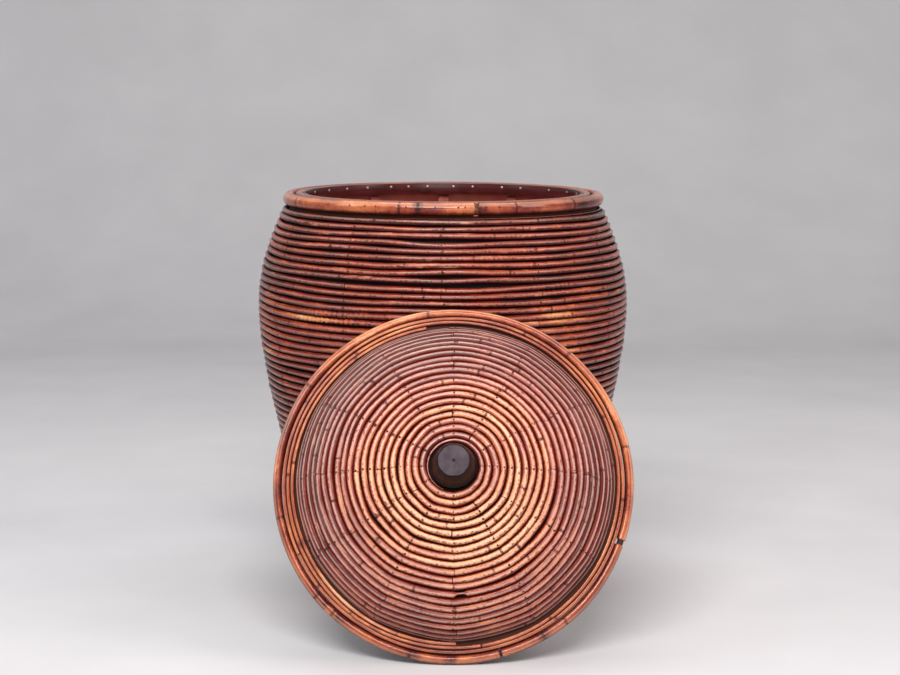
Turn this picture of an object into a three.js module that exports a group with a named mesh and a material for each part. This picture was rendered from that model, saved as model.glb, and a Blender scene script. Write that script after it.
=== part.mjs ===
import * as THREE from 'three';

// Woven reed urn with its domed lid taken off and leaning against its front.
// Millimetres, +Z up, front towards -Y. The origin is on the floor under the middle of the urn.

// Facets: every ring, hoop and turn of reed shares the same flats, so that nested pieces stay parallel.
const FLATS = 24;
const FLAT_TURN = (2 * Math.PI) / FLATS;
const FLAT_SHRINK = Math.cos(FLAT_TURN / 2);

// Straight steps that stand for the curve of the wall and of the dome, shared by lining and ribs.
const WALL_STEPS = 8;
const DOME_STEPS = 7;

// Gap between pieces that bear on each other.
const FIT_GAP = 0.3;

// Reed that is wound round both frames.
const REED_THICKNESS = 6.4;
const URN_ROW_PITCH = 7.2;
const URN_REED_BACK = 6.2;
const URN_REED_CREST = 0;
const LID_ROW_PITCH = 6.9;
const LID_REED_BACK = 5.4;
const LID_REED_CREST = 3.2;
const REED_TO_LINING = 0.4;
const LINING_THICKNESS = 3;

// Outline of the urn's wall, measured over the crests of the reed.
const URN_HEIGHT = 400;
const FOOT_RADIUS = 132;
const FOOT_FLARE = 21.5;
const FOOT_FLARE_HEIGHT = 78;
const BELLY_RADIUS = 191.3;
const BELLY_HEIGHT = 285;
const BELLY_EASE_BELOW = 73;
const BELLY_EASE_ABOVE = 35;
const NECK_RADIUS = 164.6;
const NECK_LEAN = 15.9;
const NECK_LEAN_HEIGHT = 35.4;

// Base of the urn.
const FOOT_HOOP_SIZE = 13;
const FOOT_HOOP_OVERHANG = 3;
const BOARD_THICKNESS = 9;

// Ribs of both frames.
const RIB_COUNT = 12;
const URN_RIB_WIDTH = 11;
const URN_RIB_THICKNESS = 6;
const LID_RIB_WIDTH = 8;
const LID_RIB_THICKNESS = 5;

// Rim of the urn.
const RIM_POLE_SIZE = 13.2;
const RIM_RADIUS = 165;
const RIM_HOOP_WIDTH = 7.2;
const RIM_HOOP_CHAMFER = 2.4;
const RIM_BAND_THICKNESS = 2;
const RIM_BAND_MARGIN = 0.6;

// Outline of the lid's dome over the crests of the reed, measured from the lid's seat.
const DOME_EDGE_RADIUS = 146;
const DOME_EDGE_HEIGHT = 10;
const DOME_SHOULDER_IN = 7;
const DOME_SHOULDER_UP = 30;
const DOME_CROWN_RADIUS = 122;
const DOME_CROWN_HEIGHT = 56;
const DOME_TOP_RADIUS = 23;
const DOME_TOP_HEIGHT = 80;

// Brim of the lid.
const BRIM_RADIUS = 166;
const BRIM_POLE_SIZE = 8.4;
const BRIM_POLE_HEIGHT = 4.9;
const BRIM_REED_SIZE = 3.6;
const BRIM_REED_GAP = 0.25;
const FRAME_RING_THICKNESS = 6.3;
const LOCATOR_THICKNESS = 3.6;
const LOCATOR_DEPTH = 8;
const LOCATOR_CLEARANCE = 1.5;

// The short inner reed of the brim: where it starts and how far it runs, counted in flats.
const INNER_REED_FIRST_FLAT = -6.5;
const INNER_REED_FLATS = 11;

// Knob of the lid and what holds it.
const KNOB_BASE_RADIUS = 21;
const KNOB_TOP_RADIUS = 14.8;
const KNOB_COLLAR = 3;
const KNOB_HEIGHT = 23;
const KNOB_EDGE = 1.4;
const BOSS_RADIUS = 24;
const BOSS_THICKNESS = 9;
const SCREW_RADIUS = 2.1;
const SCREW_HEAD_RADIUS = 4.6;
const SCREW_HEAD_THICKNESS = 2.6;
const SCREW_GRIP = 14;
const WASHER_RADIUS = 8.5;
const WASHER_THICKNESS = 1.7;

// How the lid leans on the urn.
const LID_LEAN = THREE.MathUtils.degToRad(23.5);
const LID_SIDE_STEP = 11;
const WALL_SAMPLES = 400;

const finish = {
  reed: new THREE.MeshStandardMaterial({ color: 0x8a4a30, roughness: 0.38 }),
  pole: new THREE.MeshStandardMaterial({ color: 0xb06a3c, roughness: 0.36 }),
  band: new THREE.MeshStandardMaterial({ color: 0x3c1512, roughness: 0.45 }),
  rib: new THREE.MeshStandardMaterial({ color: 0x7a5134, roughness: 0.6 }),
  lining: new THREE.MeshStandardMaterial({ color: 0x5d4636, roughness: 0.8 }),
  board: new THREE.MeshStandardMaterial({ color: 0x6b4a33, roughness: 0.75 }),
  knob: new THREE.MeshStandardMaterial({ color: 0x2a1d18, roughness: 0.32 }),
  metal: new THREE.MeshStandardMaterial({ color: 0x8d8a84, roughness: 0.35, metalness: 0.9 }),
};

// Sizes that follow from the ones above.
const wallFoot = FOOT_HOOP_SIZE + FIT_GAP;
const wallTop = URN_HEIGHT - RIM_POLE_SIZE - FIT_GAP;
const footHoopRadius = FOOT_RADIUS - FOOT_HOOP_OVERHANG;
const rimPoleMiddle = RIM_RADIUS - RIM_POLE_SIZE / 2;
const rimHoopOuter = RIM_RADIUS - RIM_POLE_SIZE - FIT_GAP;
const rimBandOuter = rimHoopOuter - RIM_HOOP_WIDTH - FIT_GAP;
const liningDepth = REED_THICKNESS + REED_TO_LINING;
const ribDepth = liningDepth + LINING_THICKNESS;

// The urn's wall from the foot hoop up to the rim pole.
function wallCurve() {
  const foot = new THREE.Vector2(FOOT_RADIUS, wallFoot);
  const belly = new THREE.Vector2(BELLY_RADIUS, BELLY_HEIGHT);
  const neck = new THREE.Vector2(NECK_RADIUS, wallTop);
  const curve = new THREE.CurvePath();
  curve.add(new THREE.CubicBezierCurve(
    foot,
    new THREE.Vector2(FOOT_RADIUS + FOOT_FLARE, wallFoot + FOOT_FLARE_HEIGHT),
    new THREE.Vector2(BELLY_RADIUS, BELLY_HEIGHT - BELLY_EASE_BELOW),
    belly,
  ));
  curve.add(new THREE.CubicBezierCurve(
    belly,
    new THREE.Vector2(BELLY_RADIUS, BELLY_HEIGHT + BELLY_EASE_ABOVE),
    new THREE.Vector2(NECK_RADIUS + NECK_LEAN, wallTop - NECK_LEAN_HEIGHT),
    neck,
  ));
  return curve;
}

// The lid's dome from its edge up to the foot of the knob.
function domeCurve() {
  return new THREE.CubicBezierCurve(
    new THREE.Vector2(DOME_EDGE_RADIUS, DOME_EDGE_HEIGHT),
    new THREE.Vector2(DOME_EDGE_RADIUS - DOME_SHOULDER_IN, DOME_EDGE_HEIGHT + DOME_SHOULDER_UP),
    new THREE.Vector2(DOME_CROWN_RADIUS, DOME_CROWN_HEIGHT),
    new THREE.Vector2(DOME_TOP_RADIUS, DOME_TOP_HEIGHT),
  );
}

// A point of an outline and the directions along it and out of it.
function outlineFrame(curve, share) {
  const point = curve.getPointAt(share);
  const along = curve.getTangentAt(share).normalize();
  const out = new THREE.Vector2(along.y, -along.x);
  return { point, along, out };
}

// An outline moved inwards by a depth, with as many equal steps as asked.
function insetOutline(curve, depth, steps) {
  const points = [];
  for (let i = 0; i <= steps; i += 1) {
    const { point, out } = outlineFrame(curve, i / steps);
    points.push(point.addScaledVector(out, -depth));
  }
  return points;
}

// Carries the two ends of an inset outline along their own direction to given heights.
function reachHeights(points, low, high) {
  const last = points.length - 1;
  const ends = [
    [0, 1, low],
    [last, last - 1, high],
  ];
  for (const [end, next, height] of ends) {
    const run = points[end].clone().sub(points[next]);
    points[end].addScaledVector(run, (height - points[end].y) / run.y);
  }
  return points;
}

// A ring from a closed outline of radius and height, with flats that line up all over the object.
function ring(outline) {
  const closed = [...outline, outline[0].clone()];
  return upright(new THREE.LatheGeometry(closed, FLATS, FLAT_TURN / 2));
}

// A solid of revolution from an outline that starts and ends on the axis.
function turned(outline) {
  return upright(new THREE.LatheGeometry(outline, FLATS, FLAT_TURN / 2));
}

function upright(geometry) {
  geometry.rotateX(Math.PI / 2);
  return geometry;
}

// Corners of a rectangle of radii and heights.
function box(inner, outer, low, high) {
  return [
    new THREE.Vector2(inner, low),
    new THREE.Vector2(outer, low),
    new THREE.Vector2(outer, high),
    new THREE.Vector2(inner, high),
  ];
}

// Eight flats that stand for a round pole, with one flat on top and one below.
function poleSection(radius, height, size) {
  const points = [];
  const corner = size / 2 / Math.cos(Math.PI / 8);
  for (let i = 0; i < 8; i += 1) {
    const angle = (i + 0.5) * (Math.PI / 4);
    points.push(new THREE.Vector2(radius + corner * Math.cos(angle), height + corner * Math.sin(angle)));
  }
  return points;
}

// One unbroken length of reed through a row of stations. The corners of each go up the back and
// down the crest. Turn says which way round the axis they run: 1 counter-clockwise, -1 clockwise.
function reedLength(stations, turn) {
  const sides = stations[0].length;
  const positions = stations.flat().flatMap((corner) => corner.toArray());
  const faces = [];
  const face = (a, b, c) => faces.push(...(turn > 0 ? [a, b, c] : [a, c, b]));
  for (let i = 0; i + 1 < stations.length; i += 1) {
    for (let j = 0; j < sides; j += 1) {
      const here = i * sides + j;
      const beside = i * sides + ((j + 1) % sides);
      face(here, beside, here + sides);
      face(beside, beside + sides, here + sides);
    }
  }
  const tail = (stations.length - 1) * sides;
  for (let j = 1; j + 1 < sides; j += 1) {
    face(0, j + 1, j);
    face(tail, tail + j, tail + j + 1);
  }
  const geometry = new THREE.BufferGeometry();
  geometry.setAttribute('position', new THREE.Float32BufferAttribute(positions, 3));
  geometry.setIndex(faces);
  return geometry;
}

// Puts a corner of radius and height at an angle round the axis.
function around(corner, angle) {
  return new THREE.Vector3(corner.x * Math.cos(angle), corner.x * Math.sin(angle), corner.y);
}

// Corners of a wound reed: a flat back on the lining and a narrower crest on the outline.
function reedCorners(curve, backWidth, crestWidth, arc, angle) {
  const { point, along, out } = outlineFrame(curve, arc / curve.getLength());
  const back = point.clone().addScaledVector(out, -REED_THICKNESS);
  const corners = [
    back.clone().addScaledVector(along, -backWidth / 2),
    back.clone().addScaledVector(along, backWidth / 2),
    point.clone().addScaledVector(along, crestWidth / 2),
  ];
  if (crestWidth > 0) {
    corners.push(point.clone().addScaledVector(along, -crestWidth / 2));
  }
  return corners.map((corner) => around(corner, angle));
}

// Reed wound from one end of an outline to the other, one pitch a turn.
function winding(curve, pitch, backWidth, crestWidth, turn) {
  const margin = pitch / 2;
  const run = curve.getLength() - 2 * margin;
  const steps = Math.floor((run / pitch) * FLATS);
  const stations = [];
  for (let i = 0; i <= steps; i += 1) {
    const angle = FLAT_TURN / 2 + turn * i * FLAT_TURN;
    stations.push(reedCorners(curve, backWidth, crestWidth, margin + (i * pitch) / FLATS, angle));
  }
  const gap = leastGap(stations).toFixed(2);
  const turns = (steps / FLATS).toFixed(1);
  console.log(`least gap between turns ${gap} mm, ${turns} turns`);
  return reedLength(stations, turn);
}

// Least distance between the corners of one turn and the corners of the next.
function leastGap(stations) {
  let least = Infinity;
  for (let i = 0; i + FLATS < stations.length; i += 1) {
    for (const corner of stations[i]) {
      for (const other of stations[i + FLATS]) {
        least = Math.min(least, corner.distanceTo(other));
      }
    }
  }
  return least;
}

// The inner edge of a rib, one thickness in from its outer edge and cut level at its foot.
function ribInnerEdge(outer, thickness) {
  const last = outer.length - 1;
  const inner = outer.map((point, i) => {
    const run = outer[Math.min(i + 1, last)].clone().sub(outer[Math.max(i - 1, 0)]).normalize();
    return point.clone().addScaledVector(new THREE.Vector2(run.y, -run.x), -thickness);
  });
  return reachHeights(inner, outer[0].y, inner[last].y);
}

// A rib cut from a flat outline, standing on the middle of a flat.
function rib(outer, thickness, width, index) {
  const shape = new THREE.Shape([...outer, ...ribInnerEdge(outer, thickness).reverse()]);
  const geometry = new THREE.ExtrudeGeometry(shape, { depth: width, bevelEnabled: false });
  geometry.translate(0, 0, -width / 2);
  upright(geometry);
  geometry.rotateZ(Math.PI / 2 - (index * 2 * Math.PI) / RIB_COUNT);
  return geometry;
}

// The face of a lining as a rib meets it, in the middle of a flat.
function ribSeat(points) {
  return points.map((point) => new THREE.Vector2(point.x * FLAT_SHRINK, point.y));
}

function addPiece(group, name, geometry, material) {
  const mesh = new THREE.Mesh(geometry, material);
  mesh.name = name;
  group.add(mesh);
}

function addRibs(group, prefix, outer, thickness, width) {
  for (let i = 0; i < RIB_COUNT; i += 1) {
    const name = `${prefix}_rib_${String(i + 1).padStart(2, '0')}`;
    addPiece(group, name, rib(outer, thickness, width, i), finish.rib);
  }
}

function addUrnBase(group) {
  const middle = footHoopRadius - FOOT_HOOP_SIZE / 2;
  const hoop = ring(poleSection(middle, FOOT_HOOP_SIZE / 2, FOOT_HOOP_SIZE));
  addPiece(group, 'urn_foot_hoop', hoop, finish.pole);
  const boardRadius = footHoopRadius - FOOT_HOOP_SIZE - FIT_GAP;
  const board = turned([
    new THREE.Vector2(0, 0),
    new THREE.Vector2(boardRadius, 0),
    new THREE.Vector2(boardRadius, BOARD_THICKNESS),
    new THREE.Vector2(0, BOARD_THICKNESS),
  ]);
  addPiece(group, 'urn_base_board', board, finish.board);
}

function addUrnWall(group) {
  const curve = wallCurve();
  const outer = reachHeights(insetOutline(curve, liningDepth, WALL_STEPS), wallFoot, wallTop);
  const inner = reachHeights(insetOutline(curve, ribDepth, WALL_STEPS), wallFoot, wallTop);
  addPiece(group, 'urn_lining', ring([...outer, ...inner.reverse()]), finish.lining);
  const reed = winding(curve, URN_ROW_PITCH, URN_REED_BACK, URN_REED_CREST, -1);
  addPiece(group, 'urn_reed_winding', reed, finish.reed);
  const seat = ribSeat(insetOutline(curve, ribDepth + FIT_GAP, WALL_STEPS));
  reachHeights(seat, wallFoot, wallTop);
  addRibs(group, 'urn', seat, URN_RIB_THICKNESS, URN_RIB_WIDTH);
}

function addUrnRim(group) {
  const pole = ring(poleSection(rimPoleMiddle, URN_HEIGHT - RIM_POLE_SIZE / 2, RIM_POLE_SIZE));
  addPiece(group, 'urn_rim_pole', pole, finish.pole);
  const low = URN_HEIGHT - RIM_POLE_SIZE;
  const inner = rimHoopOuter - RIM_HOOP_WIDTH;
  const hoop = ring([
    new THREE.Vector2(inner, low),
    new THREE.Vector2(rimHoopOuter, low),
    new THREE.Vector2(rimHoopOuter, URN_HEIGHT - RIM_HOOP_CHAMFER),
    new THREE.Vector2(rimHoopOuter - RIM_HOOP_CHAMFER, URN_HEIGHT),
    new THREE.Vector2(inner + RIM_HOOP_CHAMFER, URN_HEIGHT),
    new THREE.Vector2(inner, URN_HEIGHT - RIM_HOOP_CHAMFER),
  ]);
  addPiece(group, 'urn_rim_hoop', hoop, finish.pole);
  const band = ring(box(
    rimBandOuter - RIM_BAND_THICKNESS,
    rimBandOuter,
    low + RIM_BAND_MARGIN,
    URN_HEIGHT - RIM_BAND_MARGIN,
  ));
  addPiece(group, 'urn_rim_band', band, finish.band);
}

// The dome's lining runs in under the knob, where the screw passes through it.
function addLidDome(group) {
  const curve = domeCurve();
  const hole = SCREW_RADIUS + FIT_GAP;
  const bottom = FRAME_RING_THICKNESS + FIT_GAP;
  const outer = insetOutline(curve, liningDepth, DOME_STEPS);
  const inner = insetOutline(curve, ribDepth, DOME_STEPS);
  reachHeights(outer, bottom, outer[DOME_STEPS].y);
  reachHeights(inner, bottom, inner[DOME_STEPS].y);
  const knobSeat = outer[DOME_STEPS].y;
  const bossSeat = inner[DOME_STEPS].y;
  const flatRadius = inner[DOME_STEPS].x;
  const lining = ring([
    ...outer,
    new THREE.Vector2(hole, knobSeat),
    new THREE.Vector2(hole, bossSeat),
    ...inner.reverse(),
  ]);
  addPiece(group, 'lid_lining', lining, finish.lining);
  const reed = winding(curve, LID_ROW_PITCH, LID_REED_BACK, LID_REED_CREST, 1);
  addPiece(group, 'lid_reed_winding', reed, finish.reed);
  const bossEdge = inner.find((point) => point.x > BOSS_RADIUS);
  return { curve, knobSeat, bossSeat, flatRadius, bossEdge };
}

function addLidFrame(group, dome) {
  const seat = ribSeat(insetOutline(dome.curve, ribDepth + FIT_GAP, DOME_STEPS));
  const bottom = FRAME_RING_THICKNESS + FIT_GAP;
  reachHeights(seat, bottom, seat[seat.length - 1].y);
  const shank = seat.filter((point) => point.x > BOSS_RADIUS + LID_RIB_THICKNESS);
  addRibs(group, 'lid', shank, LID_RIB_THICKNESS, LID_RIB_WIDTH);
}

function addLidBrim(group) {
  const poleInner = BRIM_RADIUS - BRIM_POLE_SIZE;
  const pole = ring(poleSection(BRIM_RADIUS - BRIM_POLE_SIZE / 2, BRIM_POLE_HEIGHT, BRIM_POLE_SIZE));
  addPiece(group, 'lid_brim_pole', pole, finish.pole);
  const ringOuter = poleInner - FIT_GAP;
  const mouth = (rimBandOuter - RIM_BAND_THICKNESS) * FLAT_SHRINK;
  const locatorOuter = mouth - LOCATOR_CLEARANCE;
  const frameRing = ring(box(locatorOuter + FIT_GAP, ringOuter, 0, FRAME_RING_THICKNESS));
  addPiece(group, 'lid_frame_ring', frameRing, finish.rib);
  const locator = ring(box(
    locatorOuter - LOCATOR_THICKNESS,
    locatorOuter,
    -LOCATOR_DEPTH,
    FRAME_RING_THICKNESS,
  ));
  addPiece(group, 'lid_locating_hoop', locator, finish.rib);
  addBrimReeds(group, ringOuter);
}

// Two thin reeds go all the way round the brim, and a third covers its left side only.
function addBrimReeds(group, ringOuter) {
  const height = FRAME_RING_THICKNESS + FIT_GAP + BRIM_REED_SIZE / 2;
  const step = BRIM_REED_SIZE + BRIM_REED_GAP;
  const first = ringOuter - BRIM_REED_SIZE / 2;
  const square = (radius) => box(
    radius - BRIM_REED_SIZE / 2,
    radius + BRIM_REED_SIZE / 2,
    height - BRIM_REED_SIZE / 2,
    height + BRIM_REED_SIZE / 2,
  );
  addPiece(group, 'lid_brim_reed_outer', ring(square(first)), finish.pole);
  addPiece(group, 'lid_brim_reed_middle', ring(square(first - step)), finish.pole);
  const corners = square(first - 2 * step).reverse();
  const stations = [];
  for (let i = 0; i <= INNER_REED_FLATS; i += 1) {
    const angle = (INNER_REED_FIRST_FLAT - i) * FLAT_TURN;
    stations.push(corners.map((corner) => around(corner, angle)));
  }
  addPiece(group, 'lid_brim_reed_inner', reedLength(stations, -1), finish.pole);
}

// The screw comes up through the washer, the boss and the lining into the knob.
function addLidKnob(group, dome) {
  const hole = SCREW_RADIUS + FIT_GAP;
  const knobLow = dome.knobSeat + FIT_GAP;
  const knobTop = DOME_TOP_HEIGHT + KNOB_HEIGHT;
  const gripTop = knobLow + SCREW_GRIP;
  const knob = turned([
    new THREE.Vector2(0, gripTop + FIT_GAP),
    new THREE.Vector2(hole, gripTop + FIT_GAP),
    new THREE.Vector2(hole, knobLow),
    new THREE.Vector2(KNOB_BASE_RADIUS, knobLow),
    new THREE.Vector2(KNOB_BASE_RADIUS, DOME_TOP_HEIGHT + KNOB_COLLAR),
    new THREE.Vector2(KNOB_TOP_RADIUS, knobTop - KNOB_EDGE),
    new THREE.Vector2(KNOB_TOP_RADIUS - KNOB_EDGE, knobTop),
    new THREE.Vector2(0, knobTop),
  ]);
  addPiece(group, 'lid_knob', knob, finish.knob);
  const bossTop = dome.bossSeat - FIT_GAP;
  const bossLow = bossTop - BOSS_THICKNESS;
  const slope = (dome.bossSeat - dome.bossEdge.y) / (dome.bossEdge.x - dome.flatRadius);
  const boss = ring([
    new THREE.Vector2(hole, bossLow),
    new THREE.Vector2(BOSS_RADIUS, bossLow),
    new THREE.Vector2(BOSS_RADIUS, bossTop - slope * (BOSS_RADIUS - dome.flatRadius)),
    new THREE.Vector2(dome.flatRadius, bossTop),
    new THREE.Vector2(hole, bossTop),
  ]);
  addPiece(group, 'lid_boss', boss, finish.board);
  const washerTop = bossLow - FIT_GAP;
  const washerLow = washerTop - WASHER_THICKNESS;
  addPiece(group, 'lid_knob_washer', ring(box(hole, WASHER_RADIUS, washerLow, washerTop)), finish.metal);
  const headTop = washerLow - FIT_GAP;
  const screw = turned([
    new THREE.Vector2(0, headTop - SCREW_HEAD_THICKNESS),
    new THREE.Vector2(SCREW_HEAD_RADIUS, headTop - SCREW_HEAD_THICKNESS),
    new THREE.Vector2(SCREW_HEAD_RADIUS, headTop),
    new THREE.Vector2(SCREW_RADIUS, headTop),
    new THREE.Vector2(SCREW_RADIUS, gripTop - SCREW_RADIUS),
    new THREE.Vector2(0, gripTop),
  ]);
  addPiece(group, 'lid_knob_screw', screw, finish.metal);
}

// Radius of the wall at a height, between close points of its outline.
function wallRadiusAt(height) {
  const points = wallCurve().getSpacedPoints(WALL_SAMPLES);
  const above = points.findIndex((point) => point.y >= height);
  const share = (height - points[above - 1].y) / (points[above].y - points[above - 1].y);
  return THREE.MathUtils.lerp(points[above - 1].x, points[above].x, share);
}

// Lets the lid down onto the floor and back until its brim bears on the urn.
function leanLid(group) {
  const sine = Math.sin(LID_LEAN);
  const cosine = Math.cos(LID_LEAN);
  const pole = poleSection(BRIM_RADIUS - BRIM_POLE_SIZE / 2, BRIM_POLE_HEIGHT, BRIM_POLE_SIZE);
  const drop = Math.max(...pole.map((corner) => corner.x * FLAT_SHRINK * cosine - corner.y * sine));
  const reach = Math.max(...pole.map((corner) => {
    const height = drop + corner.x * FLAT_SHRINK * cosine + corner.y * sine;
    return wallRadiusAt(height) * FLAT_SHRINK + corner.x * FLAT_SHRINK * sine - corner.y * cosine;
  }));
  group.rotation.x = Math.PI / 2 - LID_LEAN;
  group.position.set(LID_SIDE_STEP, -reach - FIT_GAP, drop);
}

function buildUrn() {
  const group = new THREE.Group();
  addUrnBase(group);
  addUrnWall(group);
  addUrnRim(group);
  return group;
}

function buildLid() {
  const group = new THREE.Group();
  const dome = addLidDome(group);
  addLidFrame(group, dome);
  addLidBrim(group);
  addLidKnob(group, dome);
  leanLid(group);
  return group;
}

const reedUrn = new THREE.Group();
reedUrn.add(buildUrn());
reedUrn.add(buildLid());

export default reedUrn;
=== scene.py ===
import math
import random
from dataclasses import dataclass

import bmesh
import bpy
import numpy as np
from mathutils import Matrix, Vector


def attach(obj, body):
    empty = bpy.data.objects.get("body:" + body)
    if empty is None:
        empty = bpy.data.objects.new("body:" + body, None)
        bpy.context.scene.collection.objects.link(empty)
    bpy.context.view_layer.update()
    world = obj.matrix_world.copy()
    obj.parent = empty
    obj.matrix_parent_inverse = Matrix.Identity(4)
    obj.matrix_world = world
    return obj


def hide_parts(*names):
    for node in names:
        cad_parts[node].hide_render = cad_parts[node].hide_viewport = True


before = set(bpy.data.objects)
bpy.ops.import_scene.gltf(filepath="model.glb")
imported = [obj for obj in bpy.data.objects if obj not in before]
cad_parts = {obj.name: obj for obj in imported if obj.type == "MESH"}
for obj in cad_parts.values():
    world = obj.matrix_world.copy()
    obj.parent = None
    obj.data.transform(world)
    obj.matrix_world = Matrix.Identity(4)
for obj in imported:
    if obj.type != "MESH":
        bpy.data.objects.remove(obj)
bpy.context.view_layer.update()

# Reed urn with its domed lid leaning on its front. Metres, +Z up, front towards -Y.
# Directions round the urn or the lid are degrees to the right of the front, or of the lid's foot.

TURN = 2 * math.pi
RIBS = 12
BAY = TURN / RIBS

# The rounds of the frame are cut to 24 flats, and the pieces made here touch the middle of each flat.
FLATS = 24
TO_FLAT = math.cos(math.pi / FLATS)
FIT_GAP = 0.0003

# Reed. Fill is its width as a share of the row's pitch, and a squareness of 2 is a plain round.
REED_THICKNESS = 0.0064
URN_REED_FILL = 0.93
LID_REED_FILL = 0.96
URN_REED_SQUARENESS = 2.1
LID_REED_SQUARENESS = 2.3
URN_ROW_PITCH = 0.0072
LID_ROW_PITCH = 0.0069
REED_TO_LINING = 0.0004
LINING_THICKNESS = 0.003
JOINT_GAP = (0.00008, 0.0004)
END_BEVEL = 0.0006

# How far in the reed runs halfway between two ribs, for each bay, as a share of its radius
URN_BOW = (0.002,) * RIBS
LID_BOW = (0.004, 0.004, 0.005, 0.005, 0.004, 0.004, 0.005, 0.007, 0.010, 0.010, 0.008, 0.005)
NO_BOW = (0.0,) * RIBS

# Swelling and thinning of the reed's width: share of the width and waves a metre
UNEVENNESS = ((0.03, 4), (0.025, 10), (0.025, 23))

# Points round the reed and the pole, the usual turn between two sections, and where there are more: metres
# from a growth node and from a crack, and half lengths from the middle of a break
REED_SIDES = 12
POLE_SIDES = 16
STEP = math.radians(3)
NODE_STEPS = np.array((-0.007, -0.004, -0.0022, -0.0010, 0.0, 0.0010, 0.0022, 0.004, 0.007))
CRACK_STEPS = np.array((-0.0016, -0.0006, 0.0, 0.0006, 0.0016))
BREAK_STEPS = np.linspace(-1.6, 1.6, 9)

# Outline of the urn's wall over the crests of the reed
URN_HEIGHT = 0.400
FOOT_RADIUS = 0.132
FOOT_FLARE = 0.0215
FOOT_FLARE_HEIGHT = 0.078
BELLY_RADIUS = 0.1913
BELLY_HEIGHT = 0.285
BELLY_EASE_BELOW = 0.073
BELLY_EASE_ABOVE = 0.035
NECK_RADIUS = 0.1646
NECK_LEAN = 0.0159
NECK_LEAN_HEIGHT = 0.0354
FOOT_HOOP_SIZE = 0.013
FOOT_HOOP_OVERHANG = 0.003

# Direction of the joint in the foot's hoop, and its width in radians
FOOT_HOOP_JOINT = 150
FOOT_HOOP_GAP = 0.006

# Rim of the urn
RIM_RADIUS = 0.165
RIM_POLE_SIZE = 0.0132
RIM_HOOP_WIDTH = 0.0072
RIM_HOOP_ROUND = 0.0026
RIM_BAND_THICKNESS = 0.002
RIM_BAND_MARGIN = 0.0006
RIM_NODES = (-8.2, -63, 52)
RIM_PINS = (-42.5, -33, -26.9, -22.9, -12.2, -2.3, 5.3, 7.6, 14.6, 19.4)
RIM_PIN_LIFT = math.radians(20)
RIM_PIN_HEAD = (0.0009, 0.00025)

# The torn joint of the rim pole, its width, and the thinner end that shows inside it
TORN_JOINT = 11.6
TORN_GAP = math.radians(1.5)
TORN_PEG_END = 13.4
TORN_PEG_TURN = math.radians(3.6)
TORN_PEG_SHARE = 0.68

# Pale nails round the band, counted from the back to the right: those seen over the rim and the others
BAND_NAILS = (
    (-35.5, -23.8, -15.7, -7.1, 4.4, 13.0, 26.7, 36.1, 52.9, 67.2)
    + (79, 91, 100, 114, 127, 138, 149, 163, 176, 187, 199, 213, 224, 238, 251, 262, 275, 288, 301, 313)
)
BAND_NAIL_DROP = 0.0042
BAND_NAIL_HEAD = (0.0014, 0.0006)

# Heads of nails and pins, each as its radius and height, with shares of both from the back to the top
HEAD_SIDES = 8
HEAD_LEVELS = ((0.9, -0.6), (1.0, 0.1), (0.86, 0.6), (0.5, 0.92), (0.12, 1.0))
NAIL_HEIGHT = 0.0004

# Outline of the lid's dome over the crests of the reed, as radius and height from the lid's seat
DOME_EDGE = (0.1482, 0.0082)
DOME_SHOULDER = (0.1402, 0.0310)
DOME_CROWN = (0.122, 0.056)
DOME_TOP = (0.023, 0.080)

# How far the dome's edge rows stand to the right, and the length of outline over which that fades out
DOME_EDGE_ASIDE = 0.0014
DOME_ASIDE_REACH = 0.05

# Brim of the lid. The pole is two lengths, each from one direction to another, with their nodes.
BRIM_RADIUS = 0.166
BRIM_POLE_SIZE = 0.0084
BRIM_POLE_HEIGHT = 0.0049
BRIM_POLES = ((15.7, 69.2, (30,)), (70.9, 374.8, (282, 318, 346)))
BRIM_PEG_TURN = 5
BRIM_PEG_START = 1.6
BRIM_PEG_SHARE = 0.7
BRIM_REED_SIZE = 0.0036
BRIM_REED_GAP = 0.00025
FRAME_RING_THICKNESS = 0.0063
LOCATOR_THICKNESS = 0.0036
LOCATOR_DEPTH = 0.008
LOCATOR_CLEARANCE = 0.0015

# Knob
KNOB_BASE_RADIUS = 0.0203
KNOB_TOP_RADIUS = 0.0148
KNOB_COLLAR = 0.003
KNOB_HEIGHT = 0.023
KNOB_FLATS = 8
KNOB_SIDES = 64
SCREW_HOLE_RADIUS = 0.0024
SCREW_GRIP = 0.014

# The lid leans back on the urn: its own axis points to the front and up.
LID_LEAN = math.radians(23.5)
LID_PLACE = Vector((0.011, -0.2534305, 0.1496694))
LID_RIGHT = Vector((1, 0, 0))
LID_UP = Vector((0, math.sin(LID_LEAN), math.cos(LID_LEAN)))
LID_OUT = Vector((0, -math.cos(LID_LEAN), math.sin(LID_LEAN)))

# Chance of a joint in the reed at each rib, counter-clockwise from the right
URN_JOINTS = (0.04, 0.04, 0.04, 0.06, 0.04, 0.04, 0.04, 0.04, 0.05, 0.12, 0.05, 0.04)
LID_JOINTS = (0.04, 0.05, 0.10, 0.16, 0.04, 0.03, 0.03, 0.05, 0.10, 0.22, 0.18, 0.08)

# How far the slow waves and the slight partings may shift a row
MOST_DRIFT = 0.00075

# Gaps between rows of the urn: share of the wall's length, direction, reach round in radians, and how far
# each side is pushed
URN_PARTINGS = (
    (0.975, -12, 0.20, 0.0016),
    (0.937, 1, 0.24, 0.0018),
    (0.927, -17, 0.15, 0.0013),
    (0.902, -29, 0.40, 0.0012),
    (0.886, -19, 0.15, 0.0013),
    (0.849, 2, 0.18, 0.0018),
    (0.823, 10, 0.20, 0.0016),
)

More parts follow.
